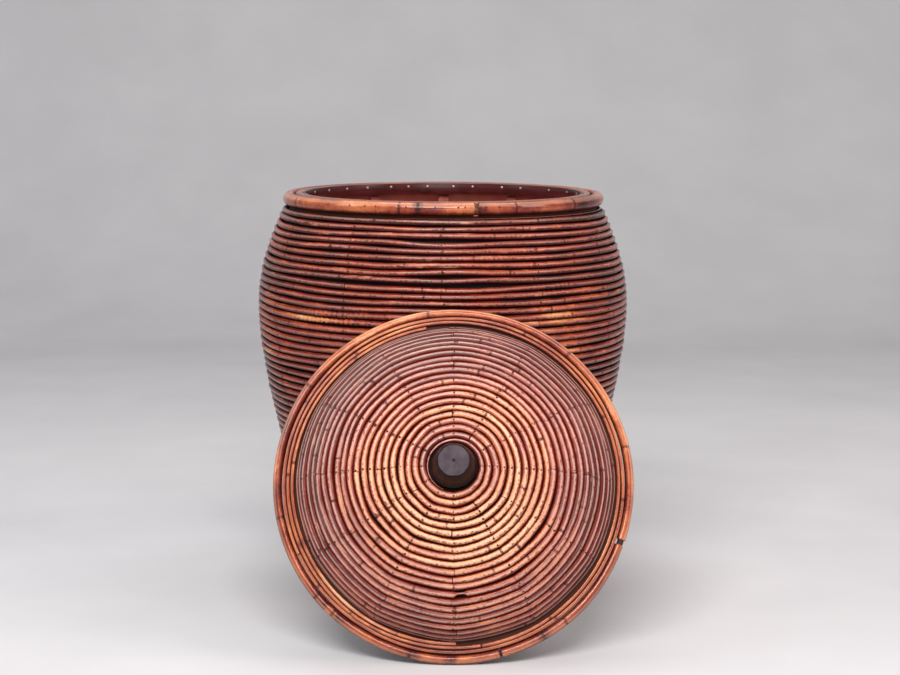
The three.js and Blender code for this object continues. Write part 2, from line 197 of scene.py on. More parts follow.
# Gaps between rows of the lid, given in the same way but with a radius
LID_PARTINGS = (
    (0.137, -74, 0.20, 0.0011),
    (0.123, -77, 0.14, 0.0009),
    (0.086, -57, 0.16, 0.0009),
    (0.095, 57, 0.28, 0.0013),
    (0.087, 63, 0.16, 0.0008),
    (0.117, 150, 0.12, 0.0010),
    (0.118, 119, 0.14, 0.0009),
    (0.050, -95, 0.35, 0.0007),
)

# Where a reed of the lid is broken through: radius, direction and half length
LID_BREAKS = ((0.1135, 3.4, 0.005),)

# Stretches of the urn notched into beads: share of the wall's length, direction, reach along and round
URN_BEADS = ((0.735, -33, 0.018, 0.26), (0.81, 35, 0.011, 0.18), (0.83, -20, 0.011, 0.2))
BEAD_LENGTH = 0.0058
BEAD_STATIONS = 7
BEAD_NOTCH = 0.26

# Stretches of the urn worn to a golden brown, given in the same way, and how much lighter they are
URN_GOLDEN = (
    (0.725, -40, 0.02, 0.25), (0.79, 50, 0.03, 0.14), (0.74, 36, 0.025, 0.1), (0.60, 120, 0.03, 0.3),
)
GOLDEN_TONE = 0.28

# How light the reed is at shares of its outline's length, from the first row to the last
URN_TONES = ((0, 0.34), (0.3, 0.40), (0.6, 0.44), (0.8, 0.42), (1, 0.33))
LID_TONES = (
    (0, 0.15), (0.06, 0.17), (0.15, 0.17), (0.27, 0.23), (0.40, 0.38), (0.53, 0.66),
    (0.64, 0.81), (0.74, 0.83), (0.85, 0.70), (0.93, 0.46), (1, 0.30),
)

# Lighter or darker stretches of the poles and canes: direction, half length and change of tone
# The first two rim spots, left of the torn joint, are painted highlights.
RIM_SPOTS = (
    (5.5, 0.014, 0.24), (9.8, 0.003, 0.3), (-8.2, 0.004, -0.4), (-52, 0.014, 0.2), (-30, 0.03, 0.1),
    (13, 0.004, -0.3), (60, 0.03, -0.16), (30, 0.02, -0.1),
)
BRIM_SPOTS = (
    (-13.7, 0.007, -0.34), (-1, 0.004, -0.3), (4, 0.012, 0.14), (-43, 0.006, 0.24), (-39.8, 0.002, -0.4),
    (-46, 0.002, -0.4), (30, 0.005, -0.3), (60, 0.020, -0.1), (79, 0.003, -0.34), (83, 0.003, -0.3),
    (105, 0.050, 0.12), (150, 0.020, -0.12), (-95, 0.110, -0.24), (-160, 0.060, 0.06),
)
OUTER_CANE_SPOTS = ((-32, 0.008, -0.36), (-95, 0.100, -0.12), (105, 0.080, 0.1), (20, 0.030, 0.1))
MIDDLE_CANE_SPOTS = (
    (-67, 0.004, -0.36), (-28, 0.005, -0.3), (-95, 0.100, -0.08), (80, 0.060, 0.12), (25, 0.040, 0.14),
)
# The first inner cane spot is a painted highlight.
INNER_CANE_SPOTS = ((-45, 0.030, 0.3), (-67, 0.004, -0.3), (-110, 0.060, 0.14), (-10, 0.010, -0.1))

# Lamps: name, place, width and height, power and colour
LAMPS = (
    ("key", (-0.3, -2.2, 2.1), (2.0, 0.6), 72, (1.0, 0.97, 0.95)),
    ("side", (2.2, -0.9, 1.5), (0.8, 1.4), 20, (1.0, 0.85, 0.80)),
    ("left", (-2.2, -0.7, 1.5), (0.8, 1.4), 11, (0.90, 0.98, 1.0)),
    ("top", (0.1, 0.4, 2.4), (1.8, 0.9), 14, (1.0, 1.0, 1.0)),
    ("low", (0.3, -3.0, 0.7), (1.6, 0.7), 14, (1.0, 0.98, 0.97)),
)
LAMP_AIM = (0, -0.1, 0.2)

# Degrees that the camera looks down and rolls
CAMERA_DOWN = 8.029
CAMERA_ROLL = 0.15

# Sizes that follow from the ones above
wall_foot = FOOT_HOOP_SIZE + FIT_GAP
rim_low = URN_HEIGHT - RIM_POLE_SIZE
wall_top = rim_low - FIT_GAP
rim_middle = RIM_RADIUS - RIM_POLE_SIZE / 2
rim_height = URN_HEIGHT - RIM_POLE_SIZE / 2
rim_hoop_outer = RIM_RADIUS - RIM_POLE_SIZE - FIT_GAP
rim_band_outer = rim_hoop_outer - RIM_HOOP_WIDTH - FIT_GAP
rim_band_inner = rim_band_outer - RIM_BAND_THICKNESS
ring_outer = BRIM_RADIUS - BRIM_POLE_SIZE - FIT_GAP
on_ring = FRAME_RING_THICKNESS + FIT_GAP
lining_depth = REED_THICKNESS + REED_TO_LINING


class Outline:
    """A smooth line of radius and height, walked by its length."""

    def __init__(self, *bends):
        share = np.linspace(0, 1, 300)[:, None]
        runs = []
        for a, b, c, d in np.array(bends, float):
            rest = 1 - share
            runs.append(a * rest**3 + 3 * b * share * rest**2 + 3 * c * share**2 * rest + d * share**3)
        self.points = np.concatenate(runs)
        steps = np.linalg.norm(np.diff(self.points, axis=0), axis=1)
        self.arcs = np.concatenate([[0.0], np.cumsum(steps)])
        self.length = self.arcs[-1]

    def point(self, arc):
        return np.stack([np.interp(arc, self.arcs, self.points[:, i]) for i in (0, 1)], axis=-1)

    def along(self, arc):
        """The outline's direction, taken over a short reach on both sides."""
        reach = 0.0015
        run = self.point(np.minimum(arc + reach, self.length)) - self.point(np.maximum(arc - reach, 0))
        return run / np.linalg.norm(run, axis=-1, keepdims=True)

    def inset(self, depth, low, high):
        """Points of the outline moved in by a depth, with its ends carried on to two heights."""
        arc = np.linspace(0, self.length, 41)
        along = self.along(arc)
        points = self.point(arc) - depth * np.stack([along[:, 1], -along[:, 0]], axis=-1)
        for end, next_to, height in ((0, 1, low), (-1, -2, high)):
            if height is not None:
                run = points[end] - points[next_to]
                points[end] = points[end] + run * (height - points[end, 1]) / run[1]
        return points

    def turns(self, pitch):
        """Full turns of reed that fit, before each end tapers off."""
        return self.length / pitch - 1


wall = Outline(
    (
        (FOOT_RADIUS, wall_foot),
        (FOOT_RADIUS + FOOT_FLARE, wall_foot + FOOT_FLARE_HEIGHT),
        (BELLY_RADIUS, BELLY_HEIGHT - BELLY_EASE_BELOW),
        (BELLY_RADIUS, BELLY_HEIGHT),
    ),
    (
        (BELLY_RADIUS, BELLY_HEIGHT),
        (BELLY_RADIUS, BELLY_HEIGHT + BELLY_EASE_ABOVE),
        (NECK_RADIUS + NECK_LEAN, wall_top - NECK_LEAN_HEIGHT),
        (NECK_RADIUS, wall_top),
    ),
)
dome = Outline((DOME_EDGE, DOME_SHOULDER, DOME_CROWN, DOME_TOP))


class Place:
    """Where a body's round pieces stand: an origin, two directions across and its axis."""

    def __init__(self, body, origin, *axes):
        self.body = body
        self.origin = np.array(origin)
        self.axes = np.array(axes)

    def put(self, local):
        return self.origin + local @ self.axes


URN = Place("urn", (0, 0, 0), (1, 0, 0), (0, 1, 0), (0, 0, 1))
LID = Place("lid", LID_PLACE, LID_RIGHT, LID_UP, LID_OUT)


def front(degrees):
    """The angle of a direction that is counted to the right from the front or from the lid's foot."""
    return math.radians(degrees - 90)


def way_round(angle, middle):
    """The shorter way round from one angle to another."""
    return np.mod(angle - middle + math.pi, TURN) - math.pi


def hump(away, reach, power=2):
    """1 at a place, and about a third at its reach."""
    return np.exp(-((away / reach) ** power))


def in_patch(share, angle, middle, degrees, reach_along, reach_round):
    """How strongly a place on a winding belongs to a patch, from 0 to 1."""
    aside = way_round(angle, front(degrees))
    return np.exp(-((share - middle) / reach_along) ** 2 - (aside / reach_round) ** 2)


def straightened(angle, bow):
    """How far in a bent reed runs between two ribs, as a share of its radius, with a bow for each bay."""
    bay, share = np.divmod(np.asarray(angle) / BAY, 1.0)
    return 1 - np.take(bow, bay.astype(int) % RIBS) * (1 - np.abs(2 * share - 1) ** 1.7)


def squared(wave, squareness):
    """A sine or cosine that makes an ellipse, or a squarer round where squareness is over 2."""
    return np.sign(wave) * np.abs(wave) ** (2 / squareness)


def round_points(angle, radius, height):
    return np.stack([radius * np.cos(angle), radius * np.sin(angle), height + 0 * angle], axis=-1)


def add_object(name, data):
    made = bpy.data.objects.new(name, data)
    bpy.context.scene.collection.objects.link(made)
    return made


def face_outwards(data):
    edited = bmesh.new()
    edited.from_mesh(data)
    bmesh.ops.recalc_face_normals(edited, faces=edited.faces)
    edited.to_mesh(data)
    edited.free()


class Mesh:
    """Gathers tubes, rings and studs into one piece, with what its finish reads."""

    def __init__(self):
        self.points = []
        self.faces = []
        self.maps = []
        self.tones = []
        self.marks = []
        self.count = 0

    def tube(self, rings, along, closed=False, tone=0.5, mark=0.0):
        """rings is stations x sides x 3, and along is each station's metres along the tube. tone is how
        light the reed is, and mark is 1 at a growth node."""
        stations, sides, _ = rings.shape
        for i in range(stations if closed else stations - 1):
            here = self.count + i * sides
            there = self.count + (i + 1) % stations * sides
            far = along[i + 1] if i + 1 < len(along) else along[-1] + (along[1] - along[0])
            for j in range(sides):
                beside = (j + 1) % sides
                self.faces.append((here + j, here + beside, there + beside, there + j))
                low, high = j / sides, (j + 1) / sides
                self.maps.append(((along[i], low), (along[i], high), (far, high), (far, low)))
        if not closed:
            for end, corners in ((0, range(sides)[::-1]), (stations - 1, range(sides))):
                self.faces.append(tuple(self.count + end * sides + j for j in corners))
                self.maps.append(((along[end], 0.5),) * sides)
        self.points.append(rings.reshape(-1, 3))
        self.tones.append(np.repeat(np.broadcast_to(tone, stations), sides))
        self.marks.append(np.repeat(np.broadcast_to(mark, stations), sides))
        self.count += stations * sides

    def build(self, name, place, finish, slot, *nodes):
        """Makes the piece. It rides on its place's body and stands for the nodes that are named."""
        data = bpy.data.meshes.new(name)
        data.from_pydata(place.put(np.concatenate(self.points)).tolist(), [], self.faces)
        layer = data.uv_layers.new(name="reed")
        corners = np.array([corner for face in self.maps for corner in face], np.float32)
        layer.data.foreach_set("uv", corners.ravel())
        for label, values in (("tone", self.tones), ("mark", self.marks)):
            attribute = data.attributes.new(label, "FLOAT", "POINT")
            attribute.data.foreach_set("value", np.concatenate(values).astype(np.float32))
        face_outwards(data)
        data.polygons.foreach_set("use_smooth", [True] * len(data.polygons))
        data.set_sharp_from_angle(angle=math.radians(38))
        data.materials.append(finish)
        piece = add_object(name, data)
        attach(piece, place.body)
        if nodes:
            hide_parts(*nodes)


def linear(part):
    """One part of a colour, from how it looks on a screen, 0 to 255, to how much light it is."""
    part = part / 255
    return part / 12.92 if part <= 0.04045 else ((part + 0.055) / 1.055) ** 2.4


def shade(colour):
    """Red, green and blue as they look on a screen. A value that a finish works out stays as it is."""
    return colour if isinstance(colour, Wire) else (*map(linear, colour), 1.0)


class Wire:
    """A value inside a finish. Arithmetic on it adds the Math nodes that it needs."""

    def __init__(self, paint, socket):
        self.paint = paint
        self.socket = socket

    def math(self, operation, *values):
        inputs = dict(enumerate(values))
        return self.paint.node("ShaderNodeMath", {"operation": operation}, inputs)

    def both_ways(operation):
        """An operator for a value on its left and the same for one on its right."""
        return (
            lambda self, other: self.math(operation, self, other),
            lambda self, other: self.math(operation, other, self),
        )

    __add__, __radd__ = both_ways("ADD")
    __sub__, __rsub__ = both_ways("SUBTRACT")
    __mul__, __rmul__ = both_ways("MULTIPLY")

    def cosine(self):
        return self.math("COSINE", self)

    def swing(self, amount):
        """A noise from 0 to 1 turned into a change that goes both ways."""
        return (self - 0.5) * amount

    def between(self, low, high):
        """0 below one value, 1 above the other, and smooth from one to the other."""
        settings = {"interpolation_type": "SMOOTHSTEP"}
        inputs = {"Value": self, "From Min": low, "From Max": high}
        return self.paint.node("ShaderNodeMapRange", settings, inputs)


class Nodes:
    """A node tree, with one method that adds a node of any kind to it."""

    def __init__(self, tree):
        self.tree = tree

    def node(self, kind, settings=None, inputs=None, output=0):
        made = self.tree.nodes.new(kind)
        for label, value in (settings or {}).items():
            setattr(made, label, value)
        for label, value in (inputs or {}).items():
            self.feed(made.inputs[label], value)
        return Wire(self, made.outputs[output])

    def feed(self, socket, value):
        if isinstance(value, Wire):
            self.tree.links.new(value.socket, socket)
        else:
            socket.default_value = value

    def shown(self):
        """1 for the rays that see the background itself, and 0 for those that only carry its light."""
        rays = ("Is Camera Ray", "Is Glossy Ray", "Is Transmission Ray")
        return sum(self.node("ShaderNodeLightPath", None, None, ray) for ray in rays)


class Paint(Nodes):
    """One finish: its shader and the nodes behind it."""

    def __init__(self, name, **uniform):
        self.material = bpy.data.materials.new(name)
        self.material.use_nodes = True
        super().__init__(self.material.node_tree)
        self.shader = self.tree.nodes["Principled BSDF"]
        for label, value in uniform.items():
            self.shader.inputs[label.replace("_", " ")].default_value = value

    def set(self, label, value):
        self.feed(self.shader.inputs[label], value)

    def mix(self, share, under, over):
        inputs = {0: share, 6: shade(under), 7: shade(over)}
        return self.node("ShaderNodeMix", {"data_type": "RGBA"}, inputs, 2)

    def ramp(self, value, *stops):
        made = self.node("ShaderNodeValToRGB", None, {"Fac": value})
        elements = made.socket.node.color_ramp.elements
        while len(elements) < len(stops):
            elements.new(1.0)
        for element, (place, colour) in zip(elements, stops):
            element.position = place
            element.color = shade(colour)
        return made

    def mapped(self):
        """How far along the reed a point is, and where round its section."""
        uv = self.node("ShaderNodeUVMap", {"uv_map": "reed"})
        return [self.node("ShaderNodeSeparateXYZ", None, {0: uv}, i) for i in (0, 1)]

    def place(self):
        """Where a point is inside its piece."""
        return self.node("ShaderNodeTexCoord", None, None, "Object")

    def vector(self, x, y, z=0.0):
        return self.node("ShaderNodeCombineXYZ", None, {0: x, 1: y, 2: z})

    def noise(self, vector, scale=1.0, detail=2.0, rough=0.5, warp=0.0):
        inputs = {"Vector": vector, "Scale": scale, "Detail": detail, "Roughness": rough, "Distortion": warp}
        return self.node("ShaderNodeTexNoise", None, inputs)

    def read(self, label):
        return self.node("ShaderNodeAttribute", {"attribute_name": label}, None, "Fac")

    def bump(self, height, strength, distance):
        inputs = {"Strength": strength, "Distance": distance, "Height": height}
        self.set("Normal", self.node("ShaderNodeBump", None, inputs))
        return self.material


NODE_STAIN = (56, 12, 8)
BARE_REED = (236, 184, 148)


def reed_finish(name, colours, groove, shine, shaded_fringe, shade_and_stain, depth=1.0, top=0.5, gloss=0.3, coat=0.36):
    """Lacquered rattan: streaks along the reed, flecks, dark rings at its nodes, pale patches of wear, a
    painted highlight along the crest, and sides darkened with stain and painted shade.

    shine is the painted highlight on the crest, and fringe darkens one edge of the crest, towards the urn's
    foot and towards the lid's edge, partly as fraying fibres and partly as painted shade; each is an amount
    and a colour. groove is the colour of the stain and painted shade on the sides, and top is the share
    round the reed where it is least darkened."""
    paint = Paint(name, IOR=1.26, Coat_Roughness=0.12, Coat_IOR=1.5)
    along, share = paint.mapped()
    tone = paint.read("tone")
    mark = paint.read("mark")
    crest = 0.5 + 0.5 * ((share - top) * TURN).cosine()
    streaks = paint.noise(paint.vector(along * 11, share * 6, tone * 3), 1.0, 4.0, 0.55)
    patches = paint.noise(paint.vector(along * 46, share * 2.2, tone * 5), 1.0, 4.0, 0.62, 0.4)
    flecks = paint.noise(paint.vector(along * 420, share * 13, tone * 7), 1.0, 2.0, 0.6)
    ripples = paint.noise(paint.vector(along * 130, share * 3, tone * 11), 1.0, 3.0, 0.6)
    mottle = paint.noise(paint.place(), 17.0, 4.0, 0.6, 0.3)
    light = tone + mottle.swing(0.8) + streaks.swing(1.0) + patches.swing(0.6) + flecks.swing(0.35)
    colour = paint.ramp(light, *colours)
    # Painted highlight: the crest is lightened towards the shine colour, where a glint of light would fall.
    painted_highlight = (crest + ripples.swing(0.03)).between(0.945, 0.995) * (0.3 + streaks)
    colour = paint.mix(painted_highlight * shine[0], colour, shine[1])
    # One side of the reed, towards the urn's foot and the lid's edge, is darkened: partly fraying fibres,
    # partly painted shade.
    frayed_and_shaded = (share + ripples.swing(0.25) + flecks.swing(0.45)).between(0.535, 0.57)
    colour = paint.mix(frayed_and_shaded * shaded_fringe[0], colour, shaded_fringe[1])
    # The sides are darkened towards the groove colour: partly stain in the grooves, partly painted shade
    # between the rows.
    sides = 1 - (crest + patches.swing(0.3) + flecks.swing(0.3)).between(*shade_and_stain)
    colour = paint.mix(sides * depth, colour, groove)
    burnt = flecks.between(0.61, 0.76) * 0.65
    colour = paint.mix(burnt, colour, groove)
    ring = (mark * 0.8 + flecks.swing(1.2) + ripples.swing(1.0)).between(0.35, 0.8)
    colour = paint.mix(ring * 0.8, colour, NODE_STAIN)
    wear_and_reflection = (streaks * patches).between(0.33, 0.44) * crest.between(0.6, 0.95)
    colour = paint.mix(wear_and_reflection * 0.35, colour, BARE_REED)
    paint.set("Base Color", colour)
    paint.set("Roughness", gloss + patches.swing(0.3) + ring * 0.15 + sides * 0.35)
    paint.set("Coat Weight", (coat - burnt * 0.3 - ring * 0.25) * (1 - sides * 0.9))
    return paint.bump(streaks * 0.5 + flecks * 0.35 + ripples * 0.7, 0.6, 0.0007)


def strip_finish(name, dark, light, gloss=0.42, coat=0.2, coarse=1.0, outer=None):
    """Flat wood or split cane with a stain and its grain along the piece; where outer is given, its outer
    half is painted dark as shade.
    """
    paint = Paint(name, IOR=1.3, Coat_Roughness=0.25)
    along, share = paint.mapped()
    grain = paint.noise(paint.vector(along * 22 * coarse, share * 60), 1.0, 4.0, 0.6)
    stain = paint.noise(paint.vector(along * 30, share * 5), 1.0, 3.0, 0.6, 0.5)
    colour = paint.ramp(grain * 0.6 + stain * 0.5, (0.3, dark), (0.75, light))
    # The dark outer half is painted shade, for the lining's back that shows between the reed rows.
    if outer:
        colour = paint.mix(1 - share.between(0.48, 0.52), colour, outer)
    paint.set("Base Color", colour)
    paint.set("Roughness", gloss + stain.swing(0.25))
    paint.set("Coat Weight", coat + stain.swing(0.2))
    return paint.bump(grain, 0.4, 0.0004)


def solid_finish(name, dark, light, gloss, metal=0.0, scale=60.0, stretch=(1, 1, 1)):
    """A finish that lies all through the piece, for boards, ribs, nails and the screw."""
    paint = Paint(name, Metallic=metal, Coat_Roughness=0.2)
    stretched = paint.node("ShaderNodeVectorMath", {"operation": "MULTIPLY"}, {0: paint.place(), 1: stretch})
    grain = paint.noise(stretched, scale, 4.0, 0.6, 0.3)
    fine = paint.noise(stretched, scale * 9, 2.0, 0.5)
    paint.set("Base Color", paint.ramp(grain * 0.7 + fine * 0.3, (0.3, dark), (0.7, light)))
    paint.set("Roughness", gloss + grain.swing(0.2))
    return paint.bump(fine, 0.25, 0.0003)


def whittled_finish():
    """Wood of the knob with a dark stain, and a dull grey top: partly wear of the stain, partly a painted
    reflection of the sky.
    """
    paint = Paint("knob", IOR=1.2, Coat_Roughness=0.25)
    grain = paint.noise(paint.place(), 90.0, 4.0, 0.6, 0.3)
    # The grey top is partly wear and partly a painted reflection of the sky.
    wear_and_reflection = (paint.read("mark") + grain.swing(0.3)).between(0.3, 0.8)
    dark = paint.ramp(grain, (0.3, (7, 2, 2)), (0.7, (22, 6, 5)))
    grey = paint.ramp(grain, (0.3, (70, 60, 67)), (0.7, (94, 83, 90)))
    paint.set("Base Color", paint.mix(wear_and_reflection, dark, grey))
    paint.set("Roughness", 0.34 + wear_and_reflection * 0.3)
    paint.set("Coat Weight", 0.1 - wear_and_reflection * 0.1)
    return paint.bump(grain, 0.3, 0.0004)


URN_COLOURS = (
    (0.05, (30, 5, 5)),
    (0.28, (80, 12, 6)),
    (0.50, (128, 30, 12)),
    (0.72, (180, 72, 28)),
    (0.95, (224, 150, 86)),
)
LID_COLOURS = (
    (0.05, (60, 18, 21)),
    (0.28, (122, 58, 57)),
    (0.50, (170, 89, 71)),
    (0.72, (213, 126, 82)),
    (0.95, (249, 180, 128)),
)
POLE_COLOURS = (
    (0.05, (62, 13, 10)),
    (0.28, (122, 42, 27)),
    (0.50, (168, 79, 48)),
    (0.75, (206, 119, 66)),
    (0.95, (242, 174, 136)),
)
urn_reed_finish = reed_finish(
    "urn_reed",
    URN_COLOURS,
    groove=(34, 2, 1),
    shine=(0.46, (218, 158, 136)),
    shaded_fringe=(0.8, (66, 6, 3)),
    shade_and_stain=(0.60, 0.95),
)
lid_reed_finish = reed_finish(
    "lid_reed",
    LID_COLOURS,
    groove=(112, 25, 8),
    shine=(0.58, (255, 210, 192)),
    shaded_fringe=(0.74, (124, 44, 28)),
    shade_and_stain=(0.69, 0.95),
    coat=0.26,
)
pole_finish = reed_finish(
    "rattan_pole",
    POLE_COLOURS,
    groove=(78, 10, 5),
    shine=(0.4, (244, 184, 150)),
    shaded_fringe=(0.0, (120, 44, 26)),
    shade_and_stain=(0.42, 0.8),
    depth=0.9,
    top=0.375,
    gloss=0.24,
    coat=0.5,
)
band_finish = strip_finish("rim_band", (28, 5, 6), (86, 30, 31), 0.3, 0.3)
hoop_finish = strip_finish("rim_hoop", (86, 36, 24), (170, 108, 84), 0.32, 0.5)
# The flat ring is painted dark brown so that the gap between the dome and the brim reads as painted shade.
frame_finish = strip_finish("frame_ring", (46, 20, 13), (84, 46, 30), 0.7, 0.0)
# The lining's inner face is painted much lighter than the reed, as painted light against the shade inside
# the mouth; its outer half is painted near black as shade between the rows.
lining_finish = strip_finish(
    "lining", (204, 112, 98), (246, 172, 152), 0.75, 0.0, 2.0, outer=(20, 5, 3)
)
# The ribs are painted light, near the lining's colour, to offset the shade beneath the rim band.
rib_finish = solid_finish("rib", (160, 84, 74), (212, 132, 114), 0.55, scale=40.0)
board_finish = solid_finish(
    "board", (72, 44, 28), (120, 80, 52), 0.6, scale=25.0, stretch=(1, 6, 1)
)
knob_finish = whittled_finish()
nail_finish = solid_finish("nail", (34, 18, 14), (60, 36, 28), 0.45, 0.4)
bright_nail_finish = solid_finish("bright_nail", (150, 132, 128), (204, 186, 182), 0.35, 0.6)
steel_finish = solid_finish("steel", (120, 118, 114), (160, 158, 154), 0.35, 1.0)
torn_finish = strip_finish("torn_reed", (40, 30, 20), (150, 134, 104), 0.8, 0.0, 3.0)
pin_finish = solid_finish("pin_hole", (20, 6, 4), (46, 16, 8), 0.7)


class Drift:
    """Slow waves that run through neighbouring rows, and places where two rows stand apart."""

    def __init__(self, seed, size, rows, slight, partings):
        rng = random.Random(seed)
        self.waves = []
        for _ in range(9):
            round_rate = rng.choice((1, 2, 3, 4, 5, 7, 9))
            row_rate = rng.uniform(-1.6, 1.6)
            self.waves.append((size * rng.uniform(0.5, 1.0), round_rate, row_rate, rng.uniform(0, TURN)))
        self.partings = partings
        self.slight_partings = []
        for _ in range(slight):
            middle = rng.uniform(1, rows - 1) * TURN
            self.slight_partings.append((middle, rng.uniform(0.15, 0.5), rng.uniform(0.0004, 0.0011)))

    def at(self, angle):
        row = angle / TURN
        shift = sum(
            size * np.sin(rate * angle + climb * row + start) for size, rate, climb, start in self.waves
        )
        shift = shift + self.parted(angle, self.slight_partings)
        return MOST_DRIFT * np.tanh(shift / MOST_DRIFT) + self.parted(angle, self.partings)

    def parted(self, angle, partings):
        """How far rows are pushed aside, each parting opening the gap after the row that it names."""
        shift = np.zeros_like(angle)
        for middle, reach, size in partings:
            away = (angle - middle) / TURN - 0.5
            aside = way_round(angle, middle)
            shift += size * np.sign(away) * np.exp(-np.abs(away) / 1.3 - (aside / reach) ** 2)
        return shift


def row_angle(arc, pitch, turn, degrees, between=0.0):
    """Where on a winding the row nearest a place is, or with 0.5 the row before the nearest gap."""
    start = turn * (front(degrees) - BAY / 4) % TURN
    return start + round(arc / pitch - 0.5 - between - start / TURN) * TURN


@dataclass
class Winding:
    """Reed wound on an outline, one pitch a turn, cut into lengths that meet end to end at the ribs.

    turn is 1 where it climbs counter-clockwise and -1 where it climbs clockwise. tone gives how light the
    reed is at a share of the outline and an angle."""

    outline: Outline
    pitch: float
    turn: int
    bow: tuple
    fill: float
    squareness: float
    drift: Drift
    tone: object
    joints: tuple
    seed: int
    edge_aside: float = 0
    beads: tuple = ()
    breaks: tuple = ()

    def __post_init__(self):
        self.rng = random.Random(self.seed)
        self.last = self.outline.turns(self.pitch) * TURN
        self.first_rib = BAY / 4 if self.turn < 0 else BAY * 3 / 4
        self.reeds = self.cut()

    def round_angle(self, angle):
        return BAY / 4 + self.turn * angle

    def arc(self, angle):
        """How far along the outline the reed lies. Before its first full turn and past its last it narrows
        into the wedge that is left beside it."""
        steady = np.clip(np.minimum(angle, self.last - angle) / TURN, 0, 1)
        place = self.pitch / 2 + self.pitch * angle / TURN + self.drift.at(angle) * steady
        over = np.clip((angle - self.last) / TURN, 0, 1)
        full = self.pitch * (self.last / TURN + 1)
        place = np.where(over > 0, full - self.pitch / 2 * (1 - over), place)
        return np.where(angle < 0, self.pitch / 2 * (1 + angle / TURN), place)

    def taper(self, angle):
        return np.clip(1 - np.maximum(-angle, angle - self.last) / TURN, 0.1, 1)

    def radius(self, angle):
        return self.outline.point(self.arc(angle))[..., 0]

    def radius_at(self, angle):
        return self.radius(np.array([angle]))[0]

    def cut(self):
        """Each reed as its two ends and how thick, wide and light it is. Joints fall on ribs."""
        ends = [-0.9 * TURN]
        rib = self.first_rib
        while rib < self.last - BAY:
            number = round(self.round_angle(rib) / BAY) % RIBS
            if self.rng.random() < self.joints[number] and rib - ends[-1] > 2.5 * BAY:
                ends.append(rib + self.rng.uniform(-0.03, 0.03))
            rib += BAY
        ends.append(self.last + 0.9 * TURN)
        return [
            {
                "start": start,
                "end": end,
                "width": self.rng.triangular(0.84, 1.03, 0.98),
                "height": self.rng.uniform(0.9, 1.02),
                "tone": self.rng.uniform(-0.13, 0.13),
                "offset": self.rng.uniform(0, 40),
                "aside": self.rng.uniform(-0.0003, 0.0003),
            }
            for start, end in zip(ends, ends[1:])
        ]

    def nodes(self, start, end, near):
        """Angles of one reed's growth nodes."""
        found = []
        at = start + self.rng.uniform(0.02, 0.2) / near
        while at < end - 0.02 / near:
            found.append(at)
            at += self.rng.uniform(0.11, 0.26) / self.radius_at(at)
        return found

    def cracks(self, start, end):
        """Where the reed has cracked over a rib as it was bent and nailed, and how deeply."""
        found = []
        rib = self.first_rib + math.ceil((start - self.first_rib) / BAY) * BAY
        while rib < end:
            if self.rng.random() < 0.75:
                found.append((rib + self.rng.uniform(-0.02, 0.02), self.rng.uniform(0.3, 1.0)))
            rib += BAY
        return found

    def beaded(self, angle):
        """How strongly the reed is notched into beads at an angle, from 0 to 1."""
        share = self.arc(angle) / self.outline.length
        turned = self.round_angle(angle)
        strength = sum((in_patch(share, turned, *patch) for patch in self.beads), np.zeros(len(angle)))
        return np.clip(strength * 1.3 - 0.3, 0, 1)

    def stations(self, start, end, near, nodes, cracks):
        """Angles of the reed's sections, which are closer together where it changes."""
        bevel = END_BEVEL / near
        angles = [start, start + bevel, end - bevel, end]
        angles.extend(np.arange(start + 2 * bevel, end - 2 * bevel, STEP))
        for node in nodes:
            angles.extend(node + NODE_STEPS / self.radius_at(node))
        for crack, _ in cracks:
            angles.extend(crack + CRACK_STEPS / self.radius_at(crack))
        fine = np.arange(start, end, BEAD_LENGTH / BEAD_STATIONS / near)
        angles.extend(fine[self.beaded(fine) > 0])
        for broken, half in self.breaks:
            angles.extend(broken + BREAK_STEPS * half / near)
        return np.unique(np.clip(angles, start, end))

    def section(self, angle, width, height, aside):
        """Rings of points round the reed at its angles."""
        arc = self.arc(angle) + aside
        crest = self.outline.point(arc)
        along = self.outline.along(arc)
        out = np.stack([along[..., 1], -along[..., 0]], axis=-1)
        middle = crest - out * (REED_THICKNESS - height[:, None] / 2)
        share = TURN * np.arange(REED_SIDES) / REED_SIDES
        across = squared(np.sin(share), self.squareness) * width[:, None] / 2
        outward = -squared(np.cos(share), self.squareness) * height[:, None] / 2
        flat = middle[:, None] + across[..., None] * along[:, None] + outward[..., None] * out[:, None]
        turned = self.round_angle(angle)
        radius = flat[..., 0] * (TO_FLAT * straightened(turned, self.bow))[:, None]
        near_edge = np.clip(1 - arc / DOME_ASIDE_REACH, 0, 1)
        radius = radius + (self.edge_aside * np.cos(turned) * near_edge)[:, None]
        return round_points(turned[:, None], radius, flat[..., 1])

    def lay(self, mesh):
        """Lays every reed, with its nodes, its cracks and its square-cut ends."""
        for reed in self.reeds:
            near = self.radius_at(reed["start"])
            gap = self.rng.uniform(*JOINT_GAP) / near
            start, end = reed["start"] + gap, reed["end"] - gap
            nodes = self.nodes(start, end, near)
            cracks = self.cracks(start, end)
            self.lay_reed(mesh, reed, self.stations(start, end, near, nodes, cracks), nodes, cracks)

